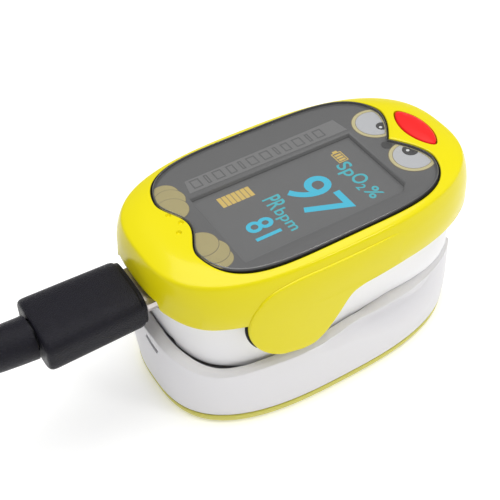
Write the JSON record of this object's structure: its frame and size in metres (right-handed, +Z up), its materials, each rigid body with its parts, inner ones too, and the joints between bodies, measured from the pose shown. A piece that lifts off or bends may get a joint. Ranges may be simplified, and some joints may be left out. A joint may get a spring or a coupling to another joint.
{
  "type": "fingertip pulse oximeter",
  "caption": "Yellow and white sprung clip that closes on a fingertip, with a lit readout under a smoked window, a red button and a plugged-in charging lead.",
  "frame": {"origin": "centre of the base, on the surface it stands on", "axes": "+X towards the finger opening, -X towards the charging socket, +Z up through the display window"},
  "size_m": [0.1548, 0.0552, 0.0294],
  "materials": {
    "yellow_shell": "smooth moulded plastic, soft satin gloss",
    "white_shell": "smooth moulded plastic, satin",
    "silicone_pad": "soft matt silicone",
    "red_button": "smooth satin plastic",
    "smoked_window": "clear smoked lens, polished",
    "display": "dark glass panel",
    "circuit_board": "green solder mask",
    "bright_steel": "plated steel, fine grain",
    "switch_plastic": "matt black plastic",
    "cell_wrap": "foil pouch",
    "film_ribbon": "amber film",
    "black_plug": "fine-grained soft plastic",
    "black_cord": "matt flexible sheath",
    "tie_fabric": "woven hook-and-loop strap"
  },
  "bodies": {
    "lower_half": {"bottom_cover": "yellow_shell", "lower_shell": "white_shell", "lower_finger_pad": "silicone_pad", "emitter_board": "circuit_board", "hinge_pin": "bright_steel", "torsion_spring_left": "bright_steel", "torsion_spring_right": "bright_steel", "far_plug_shell": "bright_steel", "bottom_screw_1": "bright_steel", "bottom_screw_2": "bright_steel", "bottom_screw_3": "bright_steel", "bottom_screw_4": "bright_steel", "rechargeable_cell": "cell_wrap", "flex_ribbon": "film_ribbon", "far_plug_body": "black_plug", "far_strain_relief": "black_plug", "charging_cord": "black_cord", "cord_coil": "black_cord", "cord_tail": "black_cord", "cord_tie": "tie_fabric"},
    "upper_half": {"upper_shell": "white_shell", "sensor_board": "circuit_board", "upper_finger_pad": "silicone_pad", "main_board": "circuit_board", "board_screw_1": "bright_steel", "board_screw_2": "bright_steel", "charging_socket": "bright_steel", "display_bracket": "white_shell", "display_panel": "display", "display_window": "smoked_window", "top_cover": "yellow_shell", "tactile_switch": "switch_plastic"},
    "power_button": {"power_button": "red_button", "switch_plunger": "switch_plastic"},
    "charging_plug": {"plug_metal_shell": "bright_steel", "plug_overmold": "black_plug", "plug_strain_relief": "black_plug"}
  },
  "joints": [
    {"name": "jaw_hinge", "type": "hinge", "parent": "lower_half", "child": "upper_half", "pos_m": [-0.0105, 0, 0.016], "axis": [0, -1, 0], "range_deg": [0, 14], "stiffness_Nm_per_rad": 0.08, "springref_deg": -28.65, "deforming": ["torsion_spring_left", "torsion_spring_right", "flex_ribbon", "charging_cord"]},
    {"name": "button_press", "type": "slide", "parent": "upper_half", "child": "power_button", "axis": [0, 0, -1], "range_m": [0, 0.0004], "stiffness_N_per_m": 1000, "springref_m": -0.0005},
    {"name": "plug_pull", "type": "slide", "parent": "upper_half", "child": "charging_plug", "axis": [-1, 0, 0], "range_m": [0, 0.008]}
  ]
}
